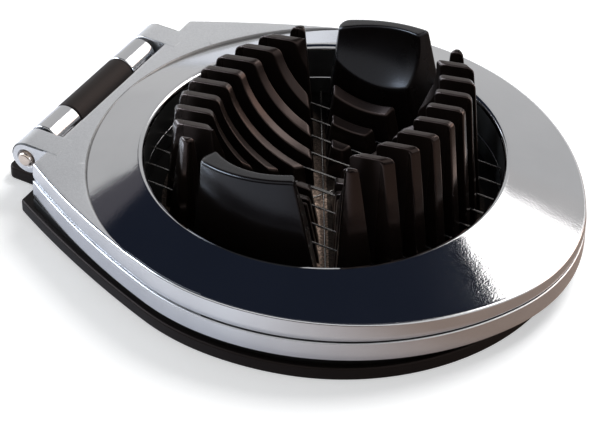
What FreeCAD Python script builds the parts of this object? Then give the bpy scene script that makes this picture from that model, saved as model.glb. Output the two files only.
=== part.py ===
import FreeCAD, Part
import math
import os

V = FreeCAD.Vector
UP = V(0, 0, 1)
ALONG_HINGE = V(0, 1, 0)

# Egg slicer: a black moulded base with a finned egg cradle, and two metal frames on one hinge.
# Frame: X runs from the hinge to the nose, Y along the hinge, Z up from the table.
# The origin is on the underside, below the centre of the round opening. All sizes in millimetres.

# Wires
wire_pitch = 5.0
slicing_wire_count = 9
wire_diameter = 0.4
wedge_wire_angles = (60.0, 120.0, 0.0)
wire_stack_gap = 0.1
slicing_wire_rise = 1.5
wedge_wire_rise = 0.75

# Heights above the table
base_thickness = 3.0
deck_height = 1.5
deck_to_wedge_frame = 0.2
wedge_frame_height = 4.3
frame_to_frame = 0.1
slicing_plate_height = 4.2
lip_rise = 4.1

# Outline of both frames, seen from above
opening_radius = 36.2
side_radius = 48.3
flank_flattening = 8.25
flank_start_deg = 90.0
nose_sharpening = 11.7
hinge_side_start_deg = 107.0
slicing_hinge_side_radius = 170.0
wedge_hinge_side_radius = 175.0
frame_back_x = -50.8
lip_fillet = 1.0

# Hollow underside of the frames
skin = 1.7
outer_wall = 1.8
rim_wall = 2.0
notch_clearance = 0.2
ferrule_radius = 0.6
ferrule_length = 1.8
ferrule_seat_gap = 0.05

# Outline of the base
base_overhang = 0.15
base_flank_flattening = 11.2
base_nose_sharpening = 0.5
base_hinge_side_radius = 250.0
base_back_x = -54.0
deck_inset = 1.3
tongue_back_x = -63.0
tongue_half_width = 22.4
tongue_corner = 1.5

# Hinge
pin_radius = 1.6
pin_running_clearance = 0.05
pin_overhang = 0.9
pin_dome = 0.6
barrel_radius = 3.6
hinge_x = -55.6
base_knuckle_half = 9.7
knuckle_gap = 0.2
wedge_knuckle_length = 8.7
ear_gap = 0.8
ear_length = 6.0
ear_countersink = 0.3

# Egg cradle
egg_half_width = 21.2
egg_half_length = 26.5
egg_depth = 18.7
egg_centre_rise = 26.2
rim_tilt_deg = 10.5
cradle_foot_radius = 32.15
cradle_draft = 0.1
slot_floor_width = 2.7
slot_draft = 0.012

# Wedge channels: half width at the floor, and how much each wall leans away per millimetre of height
channel_half_width = 1.7
left_wall_lean = 0.09
right_wall_lean = 0.047
rest_far_half_width = 1.1
rest_far_lean = 0.2
rest_near_half_width = 0.75
rest_near_lean = 0.104

# Places worked out from the sizes above
deck_top = base_thickness + deck_height
wedge_bottom = deck_top + deck_to_wedge_frame
wedge_top = wedge_bottom + wedge_frame_height
slicing_bottom = wedge_top + frame_to_frame
plate_top = slicing_bottom + slicing_plate_height
lip_top = plate_top + lip_rise
hinge_z = plate_top - barrel_radius
cone_run = (side_radius - opening_radius) / lip_rise
wire_radius = wire_diameter / 2
notch_half = wire_radius + notch_clearance
rim_outer = opening_radius + rim_wall
slicing_wire_z = slicing_bottom + slicing_wire_rise
wedge_wire_z = wedge_bottom + wedge_wire_rise
wedge_wire_step = wire_diameter + wire_stack_gap
wedge_knuckle_start = base_knuckle_half + knuckle_gap
ear_start = wedge_knuckle_start + wedge_knuckle_length + ear_gap
ear_end = ear_start + ear_length
egg_centre_z = deck_top + egg_centre_rise
far = 3 * side_radius


def turn(angle_deg, radius=1.0):
    """A point at this angle and distance from the Z axis."""
    angle = math.radians(angle_deg)
    return V(radius * math.cos(angle), radius * math.sin(angle), 0)


def arc(centre, radius, start_deg, end_deg):
    """An arc edge through its start, middle and end."""
    middle_deg = (start_deg + end_deg) / 2
    points = [centre + turn(angle, radius) for angle in (start_deg, middle_deg, end_deg)]
    return Part.Arc(*points).toShape()


def outline(side, flattening, sharpening, hinge_side, back_x):
    """The teardrop outline: tangent arcs from the nose to the straight back edge, alike on both sides."""
    flank = side + flattening
    nose = side - sharpening
    flank_centre = turn(flank_start_deg, -flattening)
    nose_deg = math.degrees(math.asin(-flank_centre.y / (flank - nose)))
    nose_centre = V(flank_centre.x + (flank - nose) * math.cos(math.radians(nose_deg)), 0, 0)
    hinge_centre = turn(hinge_side_start_deg, side - hinge_side)
    corner_deg = math.degrees(math.acos((back_x - hinge_centre.x) / hinge_side))
    half = [
        arc(flank_centre, flank, nose_deg, flank_start_deg),
        arc(V(0, 0, 0), side, flank_start_deg, hinge_side_start_deg),
        arc(hinge_centre, hinge_side, hinge_side_start_deg, corner_deg),
    ]
    corner = hinge_centre + turn(corner_deg, hinge_side)
    other_half = [edge.mirror(V(0, 0, 0), ALONG_HINGE) for edge in half]
    nose_edge = arc(nose_centre, nose, -nose_deg, nose_deg)
    back_edge = Part.makeLine(corner, V(corner.x, -corner.y, 0))
    return Part.Wire(Part.__sortEdges__([nose_edge, back_edge] + half + other_half))


def prism(wire, bottom, top):
    """A flat outline raised from one height to another."""
    face = Part.Face(wire)
    face.translate(V(0, 0, bottom))
    return face.extrude(V(0, 0, top - bottom))


def inset(wire, distance):
    """The outline drawn in by a wall's thickness."""
    return Part.Face(wire).makeOffset2D(-distance).OuterWire


def box(x_range, y_range, z_range):
    size = [high - low for low, high in (x_range, y_range, z_range)]
    return Part.makeBox(*size, V(x_range[0], y_range[0], z_range[0]))


def cylinder(radius, bottom, top):
    return Part.makeCylinder(radius, top - bottom, V(0, 0, bottom))


def barrel(radius, start, end):
    """A cylinder on the hinge axis, between two places along it."""
    return Part.makeCylinder(radius, end - start, V(hinge_x, start, hinge_z), ALONG_HINGE)


def both_sides(shape):
    return [shape, shape.mirror(V(0, 0, 0), ALONG_HINGE)]


def cone_under(top):
    """The space below the ring's conical face, with the face's inner edge at this height."""
    foot_radius = opening_radius + (top - slicing_bottom) * cone_run
    return Part.makeCone(foot_radius, opening_radius, top - slicing_bottom, V(0, 0, slicing_bottom))


def wire_rod(angle_deg, offset, height, radius, start, end):
    """A thin rod at an angle to X, moved sideways by offset, between two places along itself."""
    along = turn(angle_deg)
    begin = along * start + turn(angle_deg + 90, offset) + V(0, 0, height)
    return Part.makeCylinder(radius, end - start, begin, along)


def ferrule_seat(offset):
    """How far out along a wire the rim wall's outer face lies, and the ferrule's seat on it."""
    near_edge = max(abs(offset) - ferrule_radius, 0)
    return math.sqrt(rim_outer ** 2 - near_edge ** 2) + ferrule_seat_gap


def strung_wire(angle_deg, offset, height):
    end = ferrule_seat(offset) + ferrule_length
    return wire_rod(angle_deg, offset, height, wire_radius, -end, end)


def ferrules(angle_deg, offset, height):
    """The two crimped ferrules on one wire, each bearing on the outside of the rim wall."""
    seat = ferrule_seat(offset)
    wire = strung_wire(angle_deg, offset, height)
    starts = (seat, -seat - ferrule_length)
    rods = [wire_rod(angle_deg, offset, height, ferrule_radius, s, s + ferrule_length) for s in starts]
    return [rod.cut(wire) for rod in rods]


def notches(angle_deg, offset, height, frame_bottom):
    """Slots through the rim wall, open below, that the wire is laid into."""
    reach = ferrule_seat(offset)
    depth = height + notch_half - frame_bottom
    slot = Part.makeBox(2 * reach, 2 * notch_half, depth, V(-reach, offset - notch_half, frame_bottom))
    slot.rotate(V(0, 0, 0), UP, angle_deg)
    return slot


def slicing_wire_offsets():
    middle = (slicing_wire_count - 1) / 2
    return [(number - middle) * wire_pitch for number in range(slicing_wire_count)]


def wedge_wire_heights():
    """The three wedge wires cross one above another."""
    return [wedge_wire_z + number * wedge_wire_step for number in range(len(wedge_wire_angles))]


def slicing_frame():
    """Upper frame: conical polished ring, flat plate towards the hinge, two hinge ears."""
    edge = outline(side_radius, flank_flattening, nose_sharpening, slicing_hinge_side_radius, frame_back_x)
    ring = prism(edge, slicing_bottom, lip_top).common(cone_under(lip_top))
    hinge_half = box((-far, 0), (-far, far), (slicing_bottom, plate_top))
    plate = prism(edge, slicing_bottom, plate_top).common(hinge_half)
    body = ring.fuse(plate).cut(cylinder(opening_radius, slicing_bottom, lip_top)).removeSplitter()
    lip = [e for e in body.Edges if abs(e.BoundBox.ZMin - lip_top) < 0.01 and e.BoundBox.ZLength < 0.01]
    body = body.makeFillet(lip_fillet, lip)
    hollow = prism(inset(edge, outer_wall), slicing_bottom, lip_top).common(cone_under(lip_top - skin))
    body = body.cut(hollow.cut(cylinder(rim_outer, slicing_bottom, lip_top)))
    for offset in slicing_wire_offsets():
        body = body.cut(notches(0, offset, slicing_wire_z, slicing_bottom))
    for ear in both_sides(hinge_ear()):
        body = body.fuse(ear)
    return body.removeSplitter().cut(frame_pin_bore())


def hinge_ear():
    """A lug level with the plate that ends in a round barrel, countersunk where the pin comes out."""
    lug = box((hinge_x, frame_back_x), (ear_start, ear_end), (slicing_bottom, plate_top))
    countersink = Part.makeCone(pin_radius, pin_radius + 2 * ear_countersink, 2 * ear_countersink,
                                V(hinge_x, ear_end - 2 * ear_countersink, hinge_z), ALONG_HINGE)
    return barrel(barrel_radius, ear_start, ear_end).fuse(lug).cut(countersink)


def frame_pin_bore():
    """The running bore through a frame's barrels."""
    return barrel(pin_radius + pin_running_clearance, -ear_end, ear_end)


def wedge_frame():
    """Lower frame: flat-topped ring with the same opening, and two knuckles that sit between the ears."""
    edge = outline(side_radius, flank_flattening, nose_sharpening, wedge_hinge_side_radius, frame_back_x)
    body = prism(edge, wedge_bottom, wedge_top).cut(cylinder(opening_radius, wedge_bottom, wedge_top))
    hollow = prism(inset(edge, outer_wall), wedge_bottom, wedge_top - skin)
    body = body.cut(hollow.cut(cylinder(rim_outer, wedge_bottom, wedge_top)))
    for angle, height in zip(wedge_wire_angles, wedge_wire_heights()):
        body = body.cut(notches(angle, 0, height, wedge_bottom))
    for knuckle in both_sides(wedge_knuckle()):
        body = body.fuse(knuckle)
    return body.removeSplitter().cut(frame_pin_bore())


def wedge_knuckle():
    """A barrel and the web that joins it to the lower frame's back edge."""
    end = wedge_knuckle_start + wedge_knuckle_length
    web_bottom = hinge_z - barrel_radius
    web = box((hinge_x, frame_back_x), (wedge_knuckle_start, end), (web_bottom, wedge_top))
    return barrel(barrel_radius, wedge_knuckle_start, end).fuse(web)


def base_plate():
    """Base: a slab, a raised deck that carries the lower frame, a tongue and the middle knuckle."""
    edge = outline(side_radius + base_overhang, base_flank_flattening, base_nose_sharpening,
                   base_hinge_side_radius, base_back_x)
    slab = prism(edge, 0, base_thickness)
    deck_area = box((frame_back_x, far), (-far, far), (base_thickness, deck_top))
    deck = prism(inset(edge, deck_inset), base_thickness, deck_top).common(deck_area)
    sides = (-tongue_half_width, tongue_half_width)
    tongue = box((tongue_back_x, base_back_x), sides, (0, base_thickness))
    corners = [e for e in tongue.Edges if e.BoundBox.ZLength > 0.9 * base_thickness]
    back_corners = [e for e in corners if abs(e.BoundBox.XMin - tongue_back_x) < 0.01]
    tongue = tongue.makeFillet(tongue_corner, back_corners)
    width = (-base_knuckle_half, base_knuckle_half)
    foot = box((hinge_x - barrel_radius, hinge_x + barrel_radius), width, (base_thickness, hinge_z))
    knuckle = barrel(barrel_radius, *width).fuse(foot).cut(barrel(pin_radius, *width))
    return slab.fuse([deck, tongue, knuckle]).removeSplitter()


def hinge_pin():
    """One pin through all five barrels, with domed ends that stand out of the ears."""
    end = ear_end + pin_overhang
    pin = barrel(pin_radius, -end, end)
    rims = [e for e in pin.Edges if e.BoundBox.YLength < 0.01]
    return pin.makeFillet(pin_dome, rims)


def cradle_block():
    """The whole cradle before it is divided: a drafted round block, cut by the tilted rim and the egg."""
    height = 2 * egg_centre_rise
    top_radius = cradle_foot_radius - cradle_draft * height
    block = Part.makeCone(cradle_foot_radius, top_radius, height, V(0, 0, deck_top))
    above = box((-far, far), (-far, far), (egg_centre_z, egg_centre_z + far))
    above.rotate(V(0, 0, egg_centre_z), ALONG_HINGE, -rim_tilt_deg)
    stretch = FreeCAD.Matrix()
    stretch.scale(V(egg_half_width, egg_half_length, egg_depth))
    egg = Part.makeSphere(1).transformGeometry(stretch)
    egg.translate(V(0, 0, egg_centre_z))
    return block.cut(above).cut(egg)


def crossing(first_deg, first_offset, second_deg, second_offset):
    """Where two wall lines meet, each given by its direction and its sideways offset."""
    a = turn(first_deg + 90)
    b = turn(second_deg + 90)
    det = a.x * b.y - a.y * b.x
    x = (first_offset * b.y - second_offset * a.y) / det
    y = (a.x * second_offset - b.x * first_offset) / det
    return V(x, y, 0)


def polyhedron(lower, upper):
    """A flat-sided solid between two polygons with the same number of corners."""
    rings = [lower + lower[:1], upper + upper[:1]]
    faces = [Part.Face(Part.makePolygon(ring)) for ring in rings]
    for a, b, c, d in zip(rings[0], rings[0][1:], rings[1][1:], rings[1]):
        faces.append(Part.Face(Part.makePolygon([a, b, c, d, a])))
    return Part.makeSolid(Part.makeShell(faces))


def sector(start_deg, start_wall, end_deg, end_wall):
    """The part of the cradle between two wedge channels. Each wall has a half width and a lean."""
    triangles = []
    for rise in (0, far):
        start = start_wall[0] + start_wall[1] * rise
        end = -end_wall[0] - end_wall[1] * rise
        tip = crossing(start_deg, start, end_deg, end) + V(0, 0, deck_top + rise)
        triangles.append([tip, tip + turn(start_deg, 2 * far), tip + turn(end_deg, 2 * far)])
    return polyhedron(*triangles)


def slots():
    """The nine tapered slots that the slicing wires come down into."""
    height = far
    half_floor = slot_floor_width / 2
    half_top = half_floor + slot_draft * height
    made = []
    for offset in slicing_wire_offsets():
        profile = [(-half_floor, 0), (half_floor, 0), (half_top, height), (-half_top, height)]
        points = [V(-far, offset + y, deck_top + z) for y, z in profile]
        made.append(Part.Face(Part.makePolygon(points + points[:1])).extrude(V(2 * far, 0, 0)))
    return made


def cradle_parts():
    """The cradle's fins and rests by node name, each a list of separate solids."""
    block = cradle_block()
    middle = box((-far, far), (-wire_pitch, wire_pitch), (deck_top, far))
    left_wall = (channel_half_width, left_wall_lean)
    right_wall = (channel_half_width, right_wall_lean)
    near_wall = (rest_near_half_width, rest_near_lean)
    far_wall = (rest_far_half_width, rest_far_lean)
    sectors = {
        "left": sector(120, left_wall, 240, left_wall),
        "right": sector(-60, right_wall, 60, right_wall),
        "back": sector(60, far_wall, 120, near_wall).cut(middle),
        "front": sector(240, near_wall, 300, far_wall).cut(middle),
    }
    last_wire = max(slicing_wire_offsets())
    parts = {}
    for name, region in sectors.items():
        for solid in block.common(region).cut(slots()).Solids:
            is_rest = name in ("back", "front") and abs(solid.CenterOfMass.y) > last_wire
            node = name + ("_rest" if is_rest else "_fins")
            parts.setdefault(node, []).append(solid)
    return parts


def write(node, shape):
    shape.exportStep(os.path.join("parts", node + ".step"))
    print(f"{node}: {len(shape.Solids)} solid(s), {shape.Volume / 1000:.3f} cm3, valid {shape.isValid()}")


os.makedirs("parts", exist_ok=True)

write("base_plate", base_plate())
write("hinge_pin", hinge_pin())
write("wedge_frame", wedge_frame())
write("slicing_frame", slicing_frame())

for node, solids in cradle_parts().items():
    write(node, Part.makeCompound(solids))

for number, offset in enumerate(slicing_wire_offsets(), 1):
    write(f"slicing_wire_{number}", strung_wire(0, offset, slicing_wire_z))
slicing_ferrules = [f for offset in slicing_wire_offsets() for f in ferrules(0, offset, slicing_wire_z)]
write("slicing_wire_ferrules", Part.makeCompound(slicing_ferrules))

wedge_places = list(zip(wedge_wire_angles, wedge_wire_heights()))
for number, (angle, height) in enumerate(wedge_places, 1):
    write(f"wedge_wire_{number}", strung_wire(angle, 0, height))
wedge_ferrules = [f for angle, height in wedge_places for f in ferrules(angle, 0, height)]
write("wedge_wire_ferrules", Part.makeCompound(wedge_ferrules))
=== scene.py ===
# %% [markdown]
# # An egg slicer, dressed in Blender
# The real slicer is a black moulded base with an egg cradle of upright fins, and two bright cast
# frames strung with wires that swing on one hinge pin. The construction model already says where
# everything is, so this lesson loads it first.

# %% Load the frame
import math

import bmesh
import bpy
from mathutils import Matrix, Vector


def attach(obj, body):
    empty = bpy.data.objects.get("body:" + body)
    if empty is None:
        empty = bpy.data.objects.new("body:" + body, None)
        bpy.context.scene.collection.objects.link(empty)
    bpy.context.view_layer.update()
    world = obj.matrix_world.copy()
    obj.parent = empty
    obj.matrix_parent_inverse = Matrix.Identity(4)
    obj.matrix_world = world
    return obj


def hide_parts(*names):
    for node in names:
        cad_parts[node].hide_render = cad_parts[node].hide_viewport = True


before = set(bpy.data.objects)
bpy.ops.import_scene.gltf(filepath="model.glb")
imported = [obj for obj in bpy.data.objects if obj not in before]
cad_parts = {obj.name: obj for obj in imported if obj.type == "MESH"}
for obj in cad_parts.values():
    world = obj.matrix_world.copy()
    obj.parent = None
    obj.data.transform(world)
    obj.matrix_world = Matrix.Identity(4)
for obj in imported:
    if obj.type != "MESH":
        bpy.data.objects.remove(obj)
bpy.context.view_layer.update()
MM = 0.001

# %% [markdown]
# The camera comes first. It looks
# down from the front right with a long lens, and is turned very slightly about its own axis.
# Writing the three axes of the view is clearer here than three angles.

# %% Camera
view_target = Vector((0.005552, -0.019733, 0.017))
view_distance = 0.4243
view_roll = math.radians(0.968)
backward = Vector((0.37660, -0.68043, 0.62865))
level = Vector((-backward.y, backward.x, 0)).normalized()
upward = backward.cross(level)
across = math.cos(view_roll) * level + math.sin(view_roll) * upward

lens = bpy.data.cameras.new("photo_view")
lens.sensor_width, lens.lens = 36.0, 131.23
lens.clip_start, lens.clip_end = 0.01, 50.0
camera = bpy.data.objects.new("photo_view", lens)
pose = Matrix((across, backward.cross(across), backward)).transposed().to_4x4()
pose.translation = view_target + view_distance * backward
camera.matrix_world = pose
scene = bpy.context.scene
scene.collection.objects.link(camera)
scene.camera = camera
scene.view_settings.view_transform = "Standard"
print("camera at", [round(value, 4) for value in pose.translation])

# %% [markdown]
# Finishes and repeated pieces are both made of nodes, and sums with nodes are hard to read when each
# one is placed and linked by hand. This small class wraps a socket, so that `1 - mask * 0.4` adds its
# own Math nodes.

# %% Socket helper
class Socket:
    """A node's output that can be added, scaled and compared as a number is."""

    def __init__(self, graph, end):
        self.graph, self.end = graph, end

    def sum(self, operation, *values):
        return self.graph.add("ShaderNodeMath", {"operation": operation}, dict(enumerate(values)))[0]

    def __add__(self, other):
        return self.sum("ADD", self, other)

    def __radd__(self, other):
        return self.sum("ADD", other, self)

    def __sub__(self, other):
        return self.sum("SUBTRACT", self, other)

    def __rsub__(self, other):
        return self.sum("SUBTRACT", other, self)

    def __mul__(self, other):
        return self.sum("MULTIPLY", self, other)

    def __rmul__(self, other):
        return self.sum("MULTIPLY", other, self)

    def __truediv__(self, other):
        return self.sum("DIVIDE", self, other)

    def __rtruediv__(self, other):
        return self.sum("DIVIDE", other, self)

    def __lt__(self, other):
        return self.sum("LESS_THAN", self, other)

    def __neg__(self):
        return self.sum("MULTIPLY", self, -1.0)

    def __abs__(self):
        return self.sum("ABSOLUTE", self)

    def square(self):
        return self.sum("MULTIPLY", self, self)

    def at_least(self, other):
        return self.sum("MAXIMUM", self, other)

    def at_most(self, other):
        return self.sum("MINIMUM", self, other)

    def kept_within(self, low, high):
        return self.at_least(low).at_most(high)

    def root(self):
        return self.sum("SQRT", self)

    def floor(self):
        return self.sum("FLOOR", self)

    def sign(self):
        return self.sum("SIGN", self)

    def sine(self):
        return self.sum("SINE", self)

    def cosine(self):
        return self.sum("COSINE", self)

    def arcsine(self):
        return self.sum("ARCSINE", self)

    def arctangent(self):
        return self.sum("ARCTANGENT", self)

    def arctangent_over(self, other):
        return self.sum("ARCTAN2", self, other)


print("a socket has", len(vars(Socket)), "names")

# %% [markdown]
# Every other node comes from one method, which takes its type, its settings and its sockets. Three
# short forms of it are used so often that they get names of their own.

# %% Graph helper
class Node:
    """A made node, whose outputs are reached by name or place."""

    def __init__(self, graph, node):
        self.graph, self.node = graph, node

    def __getitem__(self, key):
        return Socket(self.graph, self.node.outputs[key])


class Graph:
    """A node tree that nodes are added to."""

    def __init__(self, tree):
        self.tree = tree

    def add(self, kind, settings=None, sockets=None):
        """A node of this kind. Its settings come first, then its sockets, each a value or a link."""
        node = self.tree.nodes.new(kind)
        for key, value in (settings or {}).items():
            setattr(node, key, value)
        for key, value in (sockets or {}).items():
            if isinstance(value, Socket):
                self.tree.links.new(value.end, node.inputs[key])
            else:
                node.inputs[key].default_value = value
        return Node(self, node)

    def point(self, x, y, z):
        """A vector from three numbers."""
        return self.add("ShaderNodeCombineXYZ", None, {0: x, 1: y, 2: z})[0]

    def parts(self, vector):
        """The three numbers of a vector."""
        split = self.add("ShaderNodeSeparateXYZ", None, {0: vector})
        return split[0], split[1], split[2]

    def place(self):
        """Where a point of the surface lies, in the object's own coordinates."""
        return self.add("ShaderNodeTexCoord")["Object"]


print("graph helper ready")

# %% [markdown]
# Every finish follows one plan: a Principled surface whose colour, roughness and bump vary with noise
# on Object coordinates, at the scale of the real surface. `grain` gives such noise from the size of
# one grain, and can stretch it into hairlines along one direction. `tones` mixes two colours, `bump`
# makes relief from a height, and `finish` joins the sockets that a finish gives into a material.

# %% Finish helpers
mix_first_colour, mix_last_colour, mix_colour_out = 6, 7, 2


def grain(graph, size, detail=2.0, stretch=(1.0, 1.0, 1.0)):
    """Noise with grains of this size, in metres."""
    scale = tuple(1.0 / (size * part) for part in stretch)
    sockets = {0: graph.place(), 1: scale}
    spread = graph.add("ShaderNodeVectorMath", {"operation": "MULTIPLY"}, sockets)[0]
    return graph.add("ShaderNodeTexNoise", None, {"Vector": spread, "Scale": 1.0, "Detail": detail})[0]


def tones(graph, factor, dark, light):
    """A colour between two tones, each of them a socket or its red, green and blue."""
    first, last = (tone if isinstance(tone, Socket) else (*tone, 1.0) for tone in (dark, light))
    sockets = {0: factor, mix_first_colour: first, mix_last_colour: last}
    return graph.add("ShaderNodeMix", {"data_type": "RGBA"}, sockets)[mix_colour_out]


def bump(graph, height, depth, under=None):
    """Relief of this depth, which may lie on other relief."""
    sockets = {"Height": height, "Distance": depth, "Strength": 1.0}
    if under is not None:
        sockets["Normal"] = under
    return graph.add("ShaderNodeBump", None, sockets)[0]


def surfaced(name, surface):
    """A material whose surface comes from the given function of its graph."""
    material = bpy.data.materials.new(name)
    material.use_nodes = True
    material.node_tree.nodes.clear()
    graph = Graph(material.node_tree)
    graph.add("ShaderNodeOutputMaterial", None, {"Surface": surface(graph)})
    return material


def finish(name, build):
    """A Principled material, whose sockets come from the given function of its graph."""
    return surfaced(name, lambda graph: graph.add("ShaderNodeBsdfPrincipled", None, build(graph))[0])


print("finish helpers ready")

# %% [markdown]
# The frames are die castings with a bright plating. The conical ring and its lip are mirror polished,
# with faint waves that make reflected edges run unevenly. The plate towards the hinge is satin with a
# fine sparkle, and so are the ears and the ledge between the frames. The side walls are a smoother
# satin. The hidden underside is left as it was cast, a rough dark grey. The low step between plate and
# cone is a rough mid grey, painted shade that makes a darker line along it. The ears' upper outer
# edges get the underside's dark grey as a painted dark reflection. Bright metal has little colour of
# its own, so roughness and bump tell the rest apart.

# %% Metal finishes
def polished(graph):
    cloud = grain(graph, 14 * MM, 3.0)
    hairline = grain(graph, 0.5 * MM, 2.0, (24.0, 1.0, 24.0))
    waves = bump(graph, grain(graph, 6 * MM, 3.0), 0.020 * MM)
    ripple = bump(graph, grain(graph, 0.4 * MM, 2.0), 0.008 * MM, waves)
    colour = tones(graph, cloud, (0.35, 0.355, 0.365), (0.42, 0.42, 0.43))
    roughness = 0.03 + cloud * 0.05 + hairline * 0.03
    return {"Base Color": colour, "Metallic": 1.0, "Roughness": roughness, "Normal": ripple}


def satin(graph):
    cloud = grain(graph, 11 * MM, 3.0)
    fine = grain(graph, 0.28 * MM, 2.0)
    colour = tones(graph, fine, (0.46, 0.465, 0.48), (0.65, 0.655, 0.67))
    sparkle = bump(graph, fine, 0.015 * MM)
    return {"Base Color": colour, "Metallic": 1.0, "Roughness": 0.28 + cloud * 0.08, "Normal": sparkle}


def satin_side(graph):
    cloud = grain(graph, 9 * MM, 3.0)
    fine = grain(graph, 0.5 * MM, 2.0, (3.0, 3.0, 1.0))
    colour = tones(graph, cloud, (0.48, 0.48, 0.49), (0.58, 0.58, 0.59))
    lines = bump(graph, fine, 0.0025 * MM)
    return {"Base Color": colour, "Metallic": 1.0, "Roughness": 0.16 + fine * 0.10, "Normal": lines}


def rough_grey(dark, light):
    """Rough grey metal between two greys."""
    def build(graph):
        cloud = grain(graph, 5 * MM, 4.0)
        fine = grain(graph, 0.5 * MM, 3.0)
        colour = tones(graph, cloud, [dark] * 3, [light] * 3)
        pits = bump(graph, fine, 0.03 * MM)
        return {"Base Color": colour, "Metallic": 1.0, "Roughness": 0.45 + fine * 0.2, "Normal": pits}
    return build


def drawn_wire(graph):
    cloud = grain(graph, 3 * MM, 2.0)
    colour = tones(graph, cloud, (0.26, 0.25, 0.24), (0.40, 0.38, 0.36))
    return {"Base Color": colour, "Metallic": 1.0, "Roughness": 0.2 + cloud * 0.12}


def turned_pin(graph):
    cloud = grain(graph, 1.2 * MM, 3.0)
    colour = tones(graph, cloud, (0.48, 0.40, 0.34), (0.64, 0.56, 0.49))
    marks = bump(graph, cloud, 0.01 * MM)
    return {"Base Color": colour, "Metallic": 1.0, "Roughness": 0.18 + cloud * 0.14, "Normal": marks}


polished_metal = finish("polished_plating", polished)
satin_metal = finish("satin_plating", satin)
side_metal = finish("satin_side_plating", satin_side)
# The same dark grey is a painted dark reflection on the ears' upper outer edges.
underside_and_painted_edge_metal = finish("dark_underside_and_painted_edge", rough_grey(0.05, 0.10))
# The step's rough mid grey is painted shade, a darker line between plate and cone.
step_shade_metal = finish("step_painted_shade", rough_grey(0.24, 0.32))
wire_metal = finish("drawn_wire", drawn_wire)
pin_metal = finish("turned_pin", turned_pin)
frame_metals = [polished_metal, satin_metal, side_metal, underside_and_painted_edge_metal, step_shade_metal]
print("metal finishes", [metal.name for metal in frame_metals + [wire_metal, pin_metal]])

# %% [markdown]
# The plastic is black with a trace of warm brown where light catches it. The fins and rests come from a
# smooth mould and are semi-gloss, smoother still on the outer faces of the cradle. The slab and the
# barrel are duller. The deck is matte black. On the cradle floor it gets painted light: a speckled brown
# along the middle channel, faint beside it, strongest at the front and fading out towards the back.
# Masks on a point's place tell the parts of the deck from each other.

# %% Plastic finishes
outer_faces, cradle_floor = 28.4 * MM, 33 * MM
# Where the deck's painted light lies: a strip along the middle channel, faint beside it, fading out towards
# the back.
strip_turn, strip_offset, strip_half = math.radians(30), 0.85 * MM, 1.6 * MM
strip_back, strip_fade, painted_light_beside_strip = 25 * MM, 40 * MM, 0.12
warm, cool = (1.0, 0.76, 0.71), (0.85, 0.89, 1.0)


def from_middle(graph):
    """A point's x and y, and how far it lies from the middle of the cradle."""
    x, y, z = graph.parts(graph.place())
    return x, y, (x.square() + y.square()).root()


def moulded(dark, light, roughness, shine, tint, outside=0.0):
    """Black plastic, smoother by `outside` on the outer faces of the cradle."""
    def build(graph):
        cloud = grain(graph, 6 * MM, 3.0)
        fine = grain(graph, 0.4 * MM, 2.0)
        rough = roughness + cloud * 0.1
        if outside:
            rough = rough - outside * (1 - (from_middle(graph)[2] < outer_faces))
        colour = tones(graph, cloud, dark, light)
        return {"Base Color": colour, "Roughness": rough, "Specular IOR Level": shine,
                "Specular Tint": (*tint, 1.0), "Normal": bump(graph, fine, 0.009 * MM)}
    return build


def deck_painted_light(graph):
    cloud = grain(graph, 4 * MM, 3.0)
    fine = grain(graph, 0.45 * MM, 3.0)
    x, y, reach = from_middle(graph)
    from_strip = abs(x * math.cos(strip_turn) + y * math.sin(strip_turn) + strip_offset)
    in_strip = from_strip < strip_half
    towards_front = ((strip_back - y) / strip_fade).kept_within(0.0, 1.0)
    # Painted light: a speckled brown strip along the middle channel, faint elsewhere on the cradle floor,
    # fading towards the back.
    painted_light = (reach < cradle_floor) * (painted_light_beside_strip + in_strip * (1 - painted_light_beside_strip)) * towards_front
    specks = ((fine - 0.4) * 4).kept_within(0.0, 1.0)
    painted_lit_tone = tones(graph, specks, (0.28, 0.205, 0.163), (1.0, 0.74, 0.59))
    black = tones(graph, cloud, (0.0015, 0.0013, 0.0013), (0.003, 0.0026, 0.0024))
    return {"Base Color": tones(graph, painted_light, black, painted_lit_tone), "Roughness": 0.52 + cloud * 0.12,
            "Specular IOR Level": 0.12, "Normal": bump(graph, fine, 0.035 * MM)}


fin_black = moulded((0.0050, 0.0033, 0.0027), (0.0100, 0.0066, 0.0054), 0.25, 0.38, warm, outside=0.12)
rest_black = moulded((0.0040, 0.0028, 0.0025), (0.0070, 0.0050, 0.0045), 0.23, 0.28, cool, outside=0.11)
slab_black = moulded((0.003, 0.0026, 0.0024), (0.006, 0.005, 0.0044), 0.46, 0.16, warm)
barrel_black = moulded((0.016, 0.0138, 0.0128), (0.024, 0.0206, 0.0192), 0.55, 0.14, warm)
fin_plastic = finish("moulded_black", fin_black)
rest_plastic = finish("rest_black", rest_black)
slab_plastic = finish("slab_black", slab_black)
barrel_plastic = finish("barrel_black", barrel_black)
deck_plastic = finish("deck_black_painted_light", deck_painted_light)
plastics = [fin_plastic, rest_plastic, slab_plastic, barrel_plastic, deck_plastic]
print("plastic finishes", [plastic.name for plastic in plastics])

# %% [markdown]
# Most pieces are lofted: a row of closed outlines is joined into a solid, either with a flat face at
# each end or, for a ring, back to the first outline. `rounding` is the small quarter circle that most of
# their edges share.

# %% Shape helpers
round_steps = 3


def rounding(radius, steps=round_steps):
    """How far in from a face each ring of a rounded edge lies, and how far its outline is drawn in."""
    tilts = [math.pi / 2 * (1 - n / steps) for n in range(steps + 1)]
    return [(radius * (1 - math.sin(t)), radius * (1 - math.cos(t))) for t in tilts]


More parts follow.
